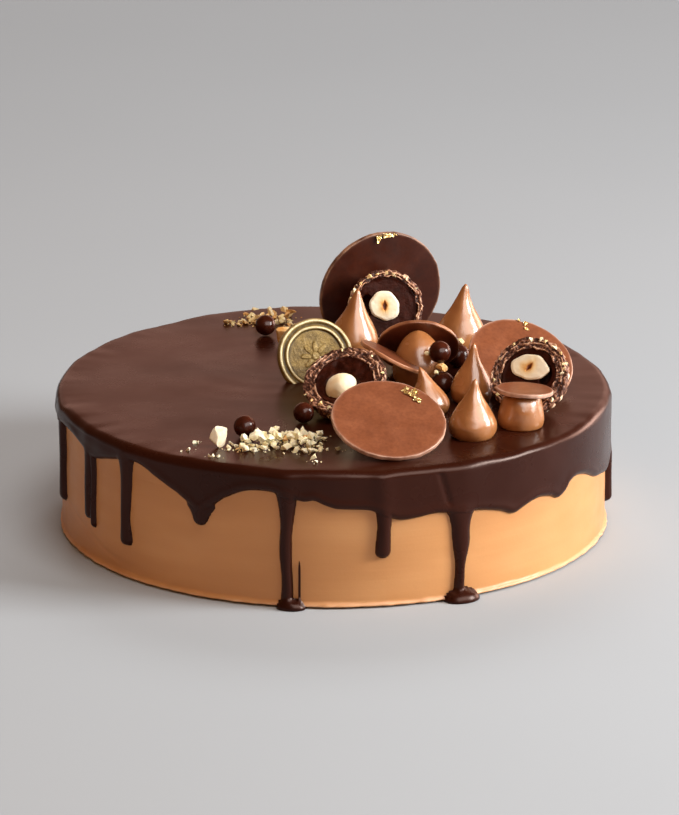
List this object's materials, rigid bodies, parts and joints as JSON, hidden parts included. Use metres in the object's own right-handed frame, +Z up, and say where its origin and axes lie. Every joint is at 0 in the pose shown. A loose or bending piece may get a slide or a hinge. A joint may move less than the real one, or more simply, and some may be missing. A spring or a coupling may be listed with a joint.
{
  "type": "chocolate truffle cake",
  "caption": "Round frosted layer cake under a dark drip glaze, topped with halved truffles, piped kisses, thin discs, a coin, balls and chopped nuts.",
  "frame": {"origin": "centre of the cake's round foot, on the surface it stands on", "axes": "+Z up, -Y towards the dressed front, +X to the viewer's right"},
  "size_m": [0.2109, 0.2116, 0.0927],
  "materials": {
    "frosting": "smooth milk chocolate mousse, satin",
    "ganache": "poured dark ganache, glossy",
    "kiss": "piped milk ganache, soft sheen",
    "dark_chocolate": "tempered dark chocolate, satin",
    "milk_chocolate": "tempered milk chocolate, satin",
    "crust": "wafer and chopped hazelnut in chocolate, rough",
    "cream": "dark hazelnut cream, soft gloss",
    "hazelnut": "blanched hazelnut, matt",
    "gilding": "gold lustre dust on chocolate, satin"
  },
  "bodies": {
    "root": {"cake_body": "frosting", "ganache_glaze": "ganache", "truffle_back_crust": "crust", "truffle_back_cream": "cream", "truffle_back_hazelnut": "hazelnut", "truffle_left_crust": "crust", "truffle_left_cream": "cream", "truffle_left_hazelnut": "hazelnut", "truffle_right_crust": "crust", "truffle_right_cream": "cream", "truffle_right_hazelnut": "hazelnut", "disc_back": "dark_chocolate", "disc_front": "milk_chocolate", "disc_right": "milk_chocolate", "disc_bridge": "dark_chocolate", "disc_lean": "dark_chocolate", "disc_lid": "milk_chocolate", "gilded_coin": "gilding", "kiss_front": "kiss", "kiss_centre": "kiss", "kiss_back": "kiss", "kiss_left": "kiss", "kiss_small": "kiss", "kiss_lid": "kiss", "kiss_under": "kiss", "kiss_prop_front": "kiss", "kiss_prop_right": "kiss", "ball_front": "dark_chocolate", "ball_truffle": "dark_chocolate", "ball_back": "dark_chocolate", "ball_low": "dark_chocolate", "ball_top": "dark_chocolate", "ball_dark": "dark_chocolate", "nut_front": "hazelnut", "nut_coin": "hazelnut", "nut_middle": "hazelnut", "nut_perched": "hazelnut"}
  },
  "joints": []
}
